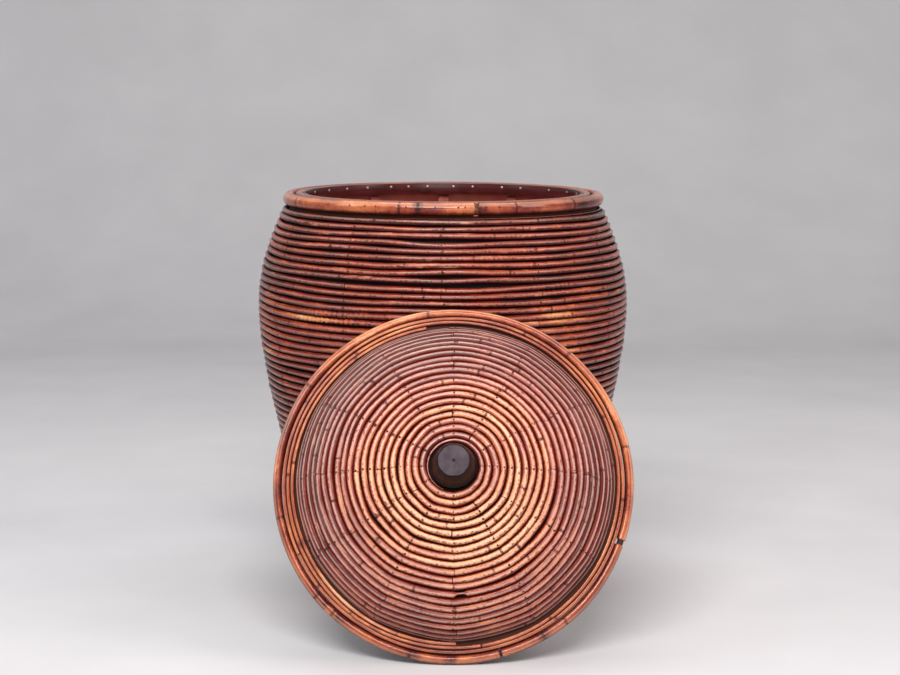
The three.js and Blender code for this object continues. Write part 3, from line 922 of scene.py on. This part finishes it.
    def lay_reed(self, mesh, reed, angles, nodes, cracks):
        radius = self.radius(angles)
        swell = sum(hump((angles - node) * radius, 0.0035) for node in nodes)
        ring = sum(hump((angles - node) * radius, 0.0018) for node in nodes)
        ring = sum((depth * hump((angles - crack) * radius, 0.0008) for crack, depth in cracks), ring)
        metres = np.concatenate([[0], np.cumsum(np.diff(angles) * radius[1:])]) + reed["offset"]
        notch = self.beaded(angles) * np.clip(np.cos(metres * TURN / BEAD_LENGTH), 0, 1) ** 2
        scale = 1 + 0.05 * swell - 0.05 * ring - BEAD_NOTCH * notch
        scale[[0, -1]] *= 0.9
        for broken, half in self.breaks:
            scale *= 1 - 0.6 * hump((angles - broken) * radius, half, 6)
        taper = self.taper(angles)
        uneven = sum(size * np.sin(metres * waves * TURN) for size, waves in UNEVENNESS)
        width = self.pitch * self.fill * reed["width"] * scale * taper * (1 + uneven)
        height = REED_THICKNESS * reed["height"] * scale * (0.35 + 0.65 * taper)
        share = self.arc(angles) / self.outline.length
        tone = np.clip(self.tone(share, self.round_angle(angles)) + reed["tone"], 0.02, 0.98)
        mark = np.clip(ring + 0.9 * notch, 0, 1)
        mesh.tube(self.section(angles, width, height, reed["aside"]), metres, tone=tone, mark=mark)

    def nail_heads(self):
        """The heads of the nails that show where rows are nailed to the ribs."""
        heads = []
        rib = self.first_rib
        while rib < self.last - 0.02:
            nail = rib + self.rng.uniform(-0.010, 0.010)
            if min(abs(nail - reed["start"]) for reed in self.reeds) < 0.01:
                nail += 0.014
            reed = next(reed for reed in self.reeds if reed["end"] > nail)
            here = np.array([nail])
            height = np.array([REED_THICKNESS * reed["height"]])
            top = self.section(here, height, height, reed["aside"])[0, REED_SIDES // 2]
            along = self.outline.along(self.arc(here))[0]
            turned = self.round_angle(nail)
            out = np.array([along[1] * math.cos(turned), along[1] * math.sin(turned), -along[0]])
            size = self.rng.uniform(0.0006, 0.0011)
            if self.rng.random() < 0.7:
                heads.append((top, out, size, NAIL_HEIGHT))
            rib += BAY
        return heads


def make_heads(name, place, finish, heads):
    """Low round heads of nails or pins: where each one is, its way out, its radius and its height."""
    mesh = Mesh()
    turn = TURN * np.arange(HEAD_SIDES) / HEAD_SIDES
    for middle, out, radius, height in heads:
        out = out / np.linalg.norm(out)
        aside = np.cross(out, (0.3, 0.5, 0.81))
        aside /= np.linalg.norm(aside)
        ring = np.outer(np.cos(turn), aside) + np.outer(np.sin(turn), np.cross(out, aside))
        rings = [middle + ring * radius * size + out * height * lift for size, lift in HEAD_LEVELS]
        mesh.tube(np.array(rings), np.linspace(0, radius * 2, len(rings)))
    mesh.build(name, place, finish, "metal")


def ring_piece(name, place, profile, finish, slot, node, bow=NO_BOW):
    """A closed ring turned from its outline, given as radius and height."""
    profile = np.array(profile, float)
    segments = 192
    angles = np.arange(segments) * TURN / segments
    radius = profile[None, :, 0] * (TO_FLAT * straightened(angles, bow))[:, None]
    rings = round_points(angles[:, None], radius, np.broadcast_to(profile[:, 1], radius.shape))
    mesh = Mesh()
    mesh.tube(rings, angles * profile[:, 0].mean(), closed=True)
    mesh.build(name, place, finish, slot, node)


def rounded_box(inner, outer, low, high, radius, steps=2):
    """A rectangle of radii and heights with its corners rounded off."""
    corners = np.array([(inner, low), (outer, low), (outer, high), (inner, high)], float)
    points = []
    for before, corner, after in zip(np.roll(corners, 1, 0), corners, np.roll(corners, -1, 0)):
        start = corner + (before - corner) / np.linalg.norm(before - corner) * radius
        end = corner + (after - corner) / np.linalg.norm(after - corner) * radius
        for share in np.linspace(0, 1, steps + 1):
            points.append(start * (1 - share) ** 2 + 2 * corner * share * (1 - share) + end * share**2)
    return points


def bent_pole(
    mesh, radius, height, size, start, sweep, seed, light=0.5, spacing=(0.15, 0.3), nodes=(), spots=()
):
    """A round rattan pole bent to a hoop or part of one. It has growth nodes at chance spacings and at the
    directions given, and lighter or darker spots."""
    rng = random.Random(seed)
    reach = radius * abs(sweep)
    places = [(front(node) - start) % TURN * radius for node in nodes]
    at = rng.uniform(0.03, 0.12)
    while at < reach - 0.02:
        places.append(at)
        at += rng.uniform(*spacing)
    usual = np.linspace(0.001, reach - 0.001, int(abs(sweep) / STEP))
    metres = [0, END_BEVEL, reach - END_BEVEL, reach, *usual]
    for place in places:
        metres.extend(place + NODE_STEPS)
    metres = np.unique(np.clip(metres, 0, reach))
    none = np.zeros(len(metres))
    swell = sum((hump(metres - place, 0.0045) for place in places), none)
    ring = sum((hump(metres - place, 0.0022) for place in places), none)
    scale = 1 + 0.02 * swell - 0.035 * ring
    scale[[0, -1]] *= 0.88
    wander = sum(0.00012 * np.sin(metres * rate + rng.uniform(0, TURN)) for rate in (17, 31, 53))
    angle = start + metres / radius * math.copysign(1, sweep)
    share = TURN * np.arange(POLE_SIDES) / POLE_SIDES
    across = size / 2 * scale[:, None]
    flat = (radius + wander[:, None] - np.cos(share) * across) * TO_FLAT
    rings = round_points(angle[:, None], flat, height + wander[:, None] * 0.5 + np.sin(share) * across)
    change = sum(0.06 * np.sin(metres * rate + rng.uniform(0, TURN)) for rate in (6, 13, 29))
    for degrees, length, amount in spots:
        change = change + amount * hump(way_round(angle, front(degrees)) * radius, length, 4)
    tone = np.clip(light + change, 0.02, 0.98)
    mesh.tube(rings, metres + rng.uniform(0, 30), tone=tone, mark=np.clip(ring, 0, 1))


def torn_fibres(mesh, seed, count, lengths, widths, out):
    """Pointed fibres that reach from the rim pole's two torn ends into the gap between them."""
    rng = random.Random(seed)
    share = TURN * np.arange(6) / 6
    run = np.linspace(0, 1, 5)
    for _ in range(count):
        side = rng.choice((-1, 1))
        lift = math.radians(rng.uniform(-100, 110))
        length = rng.uniform(*lengths)
        width = rng.uniform(*widths)
        thick = width * (1 - 0.8 * run**1.5)[:, None]
        away = RIM_POLE_SIZE / 2 * out - width - rng.uniform(0, 0.0008) * run[:, None]
        angle = front(TORN_JOINT) + side * (TORN_GAP / 2 + (0.0008 - length * run) / rim_middle)
        flat = (rim_middle + away * math.cos(lift) + thick * np.cos(share)) * TO_FLAT
        height = rim_height + away * math.sin(lift) + thick * np.sin(share)
        mesh.tube(round_points(angle[:, None], flat, height), length * run + rng.uniform(0, 20))


def wind(place, winding, finish):
    """A body's reed and the nails that hold it."""
    reed = Mesh()
    winding.lay(reed)
    reed.build(f"{place.body}_reeds", place, finish, "reed", f"{place.body}_reed_winding")
    make_heads(f"{place.body}_nails", place, nail_finish, winding.nail_heads())


def urn_tone(share, angle):
    tone = np.interp(share, *zip(*URN_TONES))
    return tone + GOLDEN_TONE * sum(in_patch(share, angle, *patch) for patch in URN_GOLDEN)


def lid_tone(share, angle):
    """The outer rows are darker at the sides, and the whole lid is lighter towards its foot: painted shade
    and painted light.
    """
    tone = np.interp(share, *zip(*LID_TONES))
    sides = 0.55 + 0.45 * np.cos(2 * angle)
    return tone - 0.4 * sides * np.clip(0.5 - share, 0, 1) + 0.18 * np.cos(angle - front(0))


def wind_urn():
    partings = [
        (row_angle(share * wall.length, URN_ROW_PITCH, -1, degrees, 0.5), reach, size)
        for share, degrees, reach, size in URN_PARTINGS
    ]
    winding = Winding(
        outline=wall,
        pitch=URN_ROW_PITCH,
        turn=-1,
        bow=URN_BOW,
        fill=URN_REED_FILL,
        squareness=URN_REED_SQUARENESS,
        drift=Drift(11, 0.00034, wall.turns(URN_ROW_PITCH), 100, partings),
        tone=urn_tone,
        joints=URN_JOINTS,
        seed=21,
        beads=URN_BEADS,
    )
    wind(URN, winding, urn_reed_finish)


def make_lining(name, place, outline, low, high, bow, hole=None):
    """The lining behind the reed, in to a hole where it has one. Gives the height of its upper end."""
    outer = outline.inset(lining_depth, low, high)
    inner = outline.inset(lining_depth + LINING_THICKNESS, low, high)
    edge = [(hole, outer[-1][1]), (hole, inner[-1][1])] if hole else []
    profile = [*outer, *edge, *inner[::-1]]
    ring_piece(name, place, profile, lining_finish, "lining", f"{place.body}_lining", bow)
    return outer[-1][1]


def make_foot():
    foot = Mesh()
    middle = FOOT_RADIUS - FOOT_HOOP_OVERHANG - FOOT_HOOP_SIZE / 2
    start, sweep = front(FOOT_HOOP_JOINT), TURN - FOOT_HOOP_GAP
    bent_pole(foot, middle, FOOT_HOOP_SIZE / 2, FOOT_HOOP_SIZE, start, sweep, 31)
    foot.build("urn_foot_pole", URN, pole_finish, "pole", "urn_foot_hoop")


def make_rim():
    """The outer pole with its torn joint, and the hoop inside it."""
    rim = Mesh()
    start = front(TORN_JOINT) + TORN_GAP / 2
    bent_pole(
        rim, rim_middle, rim_height, RIM_POLE_SIZE, start, TURN - TORN_GAP, 32,
        light=0.44, spacing=(0.2, 0.4), nodes=RIM_NODES, spots=RIM_SPOTS,
    )
    torn_fibres(rim, 34, 34, (0.0012, 0.0042), (0.0007, 0.0015), 0.97)
    rim.build("urn_rim_rattan", URN, pole_finish, "pole", "urn_rim_pole")
    torn = Mesh()
    peg = RIM_POLE_SIZE * TORN_PEG_SHARE
    bent_pole(torn, rim_middle, rim_height, peg, front(TORN_PEG_END), -TORN_PEG_TURN, 33)
    torn_fibres(torn, 35, 16, (0.003, 0.0055), (0.0003, 0.0007), 0.9)
    torn.build("urn_rim_torn_joint", URN, torn_finish, "pole")
    inner_face = rim_hoop_outer - RIM_HOOP_WIDTH
    hoop = rounded_box(inner_face, rim_hoop_outer, rim_low, URN_HEIGHT, RIM_HOOP_ROUND, 5)
    ring_piece("urn_rim_inner_hoop", URN, hoop, hoop_finish, "pole", "urn_rim_hoop")


def make_band():
    """The flat band inside the mouth, with its pale nails."""
    low, high = rim_low + RIM_BAND_MARGIN, URN_HEIGHT - RIM_BAND_MARGIN
    band = rounded_box(rim_band_inner, rim_band_outer, low, high, 0.0005)
    ring_piece("urn_mouth_band", URN, band, band_finish, "band", "urn_rim_band")
    heads = []
    for degrees in BAND_NAILS:
        angle = math.radians(90 - degrees)
        out = -np.array([math.cos(angle), math.sin(angle), 0])
        middle = np.array([0, 0, URN_HEIGHT - BAND_NAIL_DROP]) - out * rim_band_inner * TO_FLAT
        heads.append((middle, out, *BAND_NAIL_HEAD))
    make_heads("urn_band_nails", URN, bright_nail_finish, heads)


def make_rim_pins():
    """Dark pins on the outer face of the rim pole, a little above its middle."""
    pins = []
    level, rise = math.cos(RIM_PIN_LIFT), math.sin(RIM_PIN_LIFT)
    for degrees in RIM_PINS:
        angle = front(degrees)
        out = np.array([math.cos(angle) * level, math.sin(angle) * level, rise])
        ring = np.array([math.cos(angle), math.sin(angle), 0]) * rim_middle * TO_FLAT
        pins.append((ring + (0, 0, rim_height) + out * RIM_POLE_SIZE / 2, out, *RIM_PIN_HEAD))
    make_heads("urn_rim_pins", URN, pin_finish, pins)


def lid_row(radius, degrees, between=0.0):
    arc = np.interp(-radius, -dome.points[:, 0], dome.arcs)
    return row_angle(arc, LID_ROW_PITCH, 1, degrees, between)


def wind_lid():
    partings = [
        (lid_row(radius, degrees, 0.5), reach, size) for radius, degrees, reach, size in LID_PARTINGS
    ]
    winding = Winding(
        outline=dome,
        pitch=LID_ROW_PITCH,
        turn=1,
        bow=LID_BOW,
        fill=LID_REED_FILL,
        squareness=LID_REED_SQUARENESS,
        drift=Drift(12, 0.00022, dome.turns(LID_ROW_PITCH), 22, partings),
        tone=lid_tone,
        joints=LID_JOINTS,
        seed=22,
        edge_aside=DOME_EDGE_ASIDE,
        breaks=[(lid_row(radius, degrees), half) for radius, degrees, half in LID_BREAKS],
    )
    wind(LID, winding, lid_reed_finish)


def make_lid_frame():
    """The flat ring under the dome, and the hoop inside it that drops into the urn's mouth."""
    locator = rim_band_inner * TO_FLAT - LOCATOR_CLEARANCE
    flat_ring = rounded_box(locator + FIT_GAP, ring_outer, 0, FRAME_RING_THICKNESS, 0.0006)
    ring_piece("lid_flat_ring", LID, flat_ring, frame_finish, "frame_wood", "lid_frame_ring")
    hoop = rounded_box(locator - LOCATOR_THICKNESS, locator, -LOCATOR_DEPTH, FRAME_RING_THICKNESS, 0.0008)
    ring_piece("lid_mouth_hoop", LID, hoop, frame_finish, "frame_wood", "lid_locating_hoop")


def make_brim():
    """The brim's pole in two lengths, and a peg in each of the joints between them."""
    middle = BRIM_RADIUS - BRIM_POLE_SIZE / 2
    pole = Mesh()
    pegs = Mesh()
    for seed, (start, end, nodes) in enumerate(BRIM_POLES, 41):
        bent_pole(
            pole, middle, BRIM_POLE_HEIGHT, BRIM_POLE_SIZE, front(start), math.radians(end - start), seed,
            light=0.54, spacing=(0.1, 0.25), nodes=nodes, spots=BRIM_SPOTS,
        )
        peg = BRIM_POLE_SIZE * BRIM_PEG_SHARE
        sweep = math.radians(BRIM_PEG_TURN)
        bent_pole(pegs, middle, BRIM_POLE_HEIGHT, peg, front(end - BRIM_PEG_START), sweep, seed + 50)
    pegs.build("lid_brim_pegs", LID, pin_finish, "pole")
    pole.build("lid_brim_rattan", LID, pole_finish, "pole", "lid_brim_pole")


def make_canes():
    """Two thin reeds all round the brim, and a third that covers its left side only."""
    canes = (
        ("outer", -64, TURN - 0.007, OUTER_CANE_SPOTS),
        ("middle", 9.8, TURN - 0.008, MIDDLE_CANE_SPOTS),
        ("inner", 1, -math.radians(171), INNER_CANE_SPOTS),
    )
    for number, (name, start, sweep, spots) in enumerate(canes):
        radius = ring_outer - BRIM_REED_SIZE / 2 - number * (BRIM_REED_SIZE + BRIM_REED_GAP)
        cane = Mesh()
        bent_pole(
            cane, radius, on_ring + BRIM_REED_SIZE / 2, BRIM_REED_SIZE, front(start), sweep, 43 + number,
            spacing=(0.1, 0.3), spots=spots,
        )
        cane.build(f"lid_brim_cane_{name}", LID, pole_finish, "pole", f"lid_brim_reed_{name}")


def make_knob(foot):
    """A plug whittled to uneven flats that fade out towards its foot, with the screw's hole in its foot and
    a dimple in its top."""
    rng = random.Random(51)
    angles = TURN * np.arange(KNOB_SIDES) / KNOB_SIDES
    cut = np.ones(KNOB_SIDES)
    for number in range(KNOB_FLATS):
        facing = np.cos(angles - (number * TURN / KNOB_FLATS + rng.uniform(-0.12, 0.12)))
        reach = rng.uniform(0.955, 0.99)
        cut = np.where(facing > 0.3, np.minimum(cut, reach / np.maximum(facing, 0.3)), cut)
    grip = foot + SCREW_GRIP
    collar = DOME_TOP[1] + KNOB_COLLAR
    top = DOME_TOP[1] + KNOB_HEIGHT
    # Height, radius, how strongly it is whittled, and how much of the grey top of wear and painted
    # reflection it shows
    levels = (
        (grip, 0.0001, 0, 0),
        (grip, SCREW_HOLE_RADIUS, 0, 0),
        (foot, SCREW_HOLE_RADIUS, 0, 0),
        (foot, KNOB_BASE_RADIUS - 0.001, 0, 0),
        (foot + 0.001, KNOB_BASE_RADIUS, 0, 0),
        (collar - 0.001, KNOB_BASE_RADIUS, 0.1, 0),
        (collar, KNOB_BASE_RADIUS - 0.0008, 0.4, 0),
        (collar + 0.010, KNOB_TOP_RADIUS + 0.0030, 0.9, 0),
        (top - 0.0014, KNOB_TOP_RADIUS, 1, 0),
        (top - 0.0004, KNOB_TOP_RADIUS - 0.0006, 1, 0.2),
        (top, KNOB_TOP_RADIUS - 0.0016, 1, 1),
        (top, 0.0016, 1, 1),
        (top - 0.0009, 0.0010, 0, 0),
        (top - 0.0009, 0.0001, 0, 0),
    )
    rings = []
    for height, radius, carved, _ in levels:
        rings.append(round_points(angles, radius * (1 + (cut - 1) * carved), height))
    mesh = Mesh()
    mesh.tube(np.array(rings), np.linspace(0, 0.05, len(rings)), mark=[float(level[3]) for level in levels])
    mesh.build("lid_plug", LID, knob_finish, "knob", "lid_knob")


def dress_cad_nodes():
    """Gives a finish to the plain pieces that are shown as the CAD made them."""
    finishes = {
        "urn_base_board": board_finish,
        "lid_boss": board_finish,
        "lid_knob_washer": steel_finish,
        "lid_knob_screw": steel_finish,
    }
    for name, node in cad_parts.items():
        finish = rib_finish if "_rib_" in name else finishes.get(name)
        if finish:
            node.data.materials.clear()
            node.data.materials.append(finish)


def make_floor():
    """A pale sheet that runs back along the floor and curves up behind the urn."""
    paint = Paint("floor")
    grain = paint.noise(paint.place(), 5.0, 5.0, 0.55)
    pale = paint.ramp(grain, (0.3, (214, 213, 215)), (0.7, (222, 221, 223)))
    paint.set("Base Color", paint.mix(paint.shown(), (120, 118, 120), pale))
    paint.set("Roughness", 0.8 + grain.swing(0.1))
    near, far, bend, top, half = -5.0, 1.6, 1.2, 5.0, 6.0
    turns = np.linspace(0, math.pi / 2, 24)
    curve = [(far + bend * math.sin(turn), bend - bend * math.cos(turn)) for turn in turns]
    line = [(near, 0.0), *curve, (far + bend, top)]
    points = [(side, back, height) for back, height in line for side in (-half, half)]
    faces = [(2 * i, 2 * i + 1, 2 * i + 3, 2 * i + 2) for i in range(len(line) - 1)]
    data = bpy.data.meshes.new("floor")
    data.from_pydata(points, [], faces)
    data.polygons.foreach_set("use_smooth", [True] * len(faces))
    data.materials.append(paint.material)
    floor = add_object("floor", data)


def make_light():
    """Five soft lamps in a dim grey room, which is seen as a plain pale grey."""
    world = bpy.data.worlds.new("sky")
    bpy.context.scene.world = world
    world.use_nodes = True
    sky = Nodes(world.node_tree)
    room = sky.node("ShaderNodeBackground", None, {"Color": (0.86, 0.86, 0.90, 1), "Strength": 0.3})
    paper = sky.node("ShaderNodeBackground", None, {"Color": (0.60, 0.60, 0.61, 1), "Strength": 1.0})
    background = sky.node("ShaderNodeMixShader", None, {0: sky.shown(), 1: room, 2: paper})
    sky.feed(sky.tree.nodes["World Output"].inputs["Surface"], background)
    for name, place, size, power, colour in LAMPS:
        data = bpy.data.lights.new(name, "AREA")
        data.shape = "RECTANGLE"
        data.size, data.size_y = size
        data.energy = power
        data.color = colour
        lamp = add_object(name, data)
        lamp.location = place
        aim = Vector(LAMP_AIM) - Vector(place)
        lamp.rotation_euler = aim.to_track_quat("-Z", "Y").to_euler()


def make_camera():
    data = bpy.data.cameras.new("camera")
    data.lens = 80
    data.sensor_width = 36
    camera = add_object("camera", data)
    camera.location = (0.0075, -2.0463, 0.5376)
    tilt = Matrix.Rotation(math.radians(90 - CAMERA_DOWN), 3, "X")
    roll = Matrix.Rotation(math.radians(CAMERA_ROLL), 3, "Z")
    camera.rotation_euler = (tilt @ roll).to_euler()
    scene = bpy.context.scene
    scene.camera = camera
    scene.view_settings.view_transform = "Standard"


wind_urn()
make_lining("urn_wall_lining", URN, wall, wall_foot, wall_top, URN_BOW)
make_foot()
make_rim()
make_band()
make_rim_pins()
wind_lid()
lining_top = make_lining("lid_dome_lining", LID, dome, on_ring, None, LID_BOW, SCREW_HOLE_RADIUS)
make_lid_frame()
make_brim()
make_canes()
make_knob(lining_top + FIT_GAP)
dress_cad_nodes()
make_floor()
make_light()
make_camera()
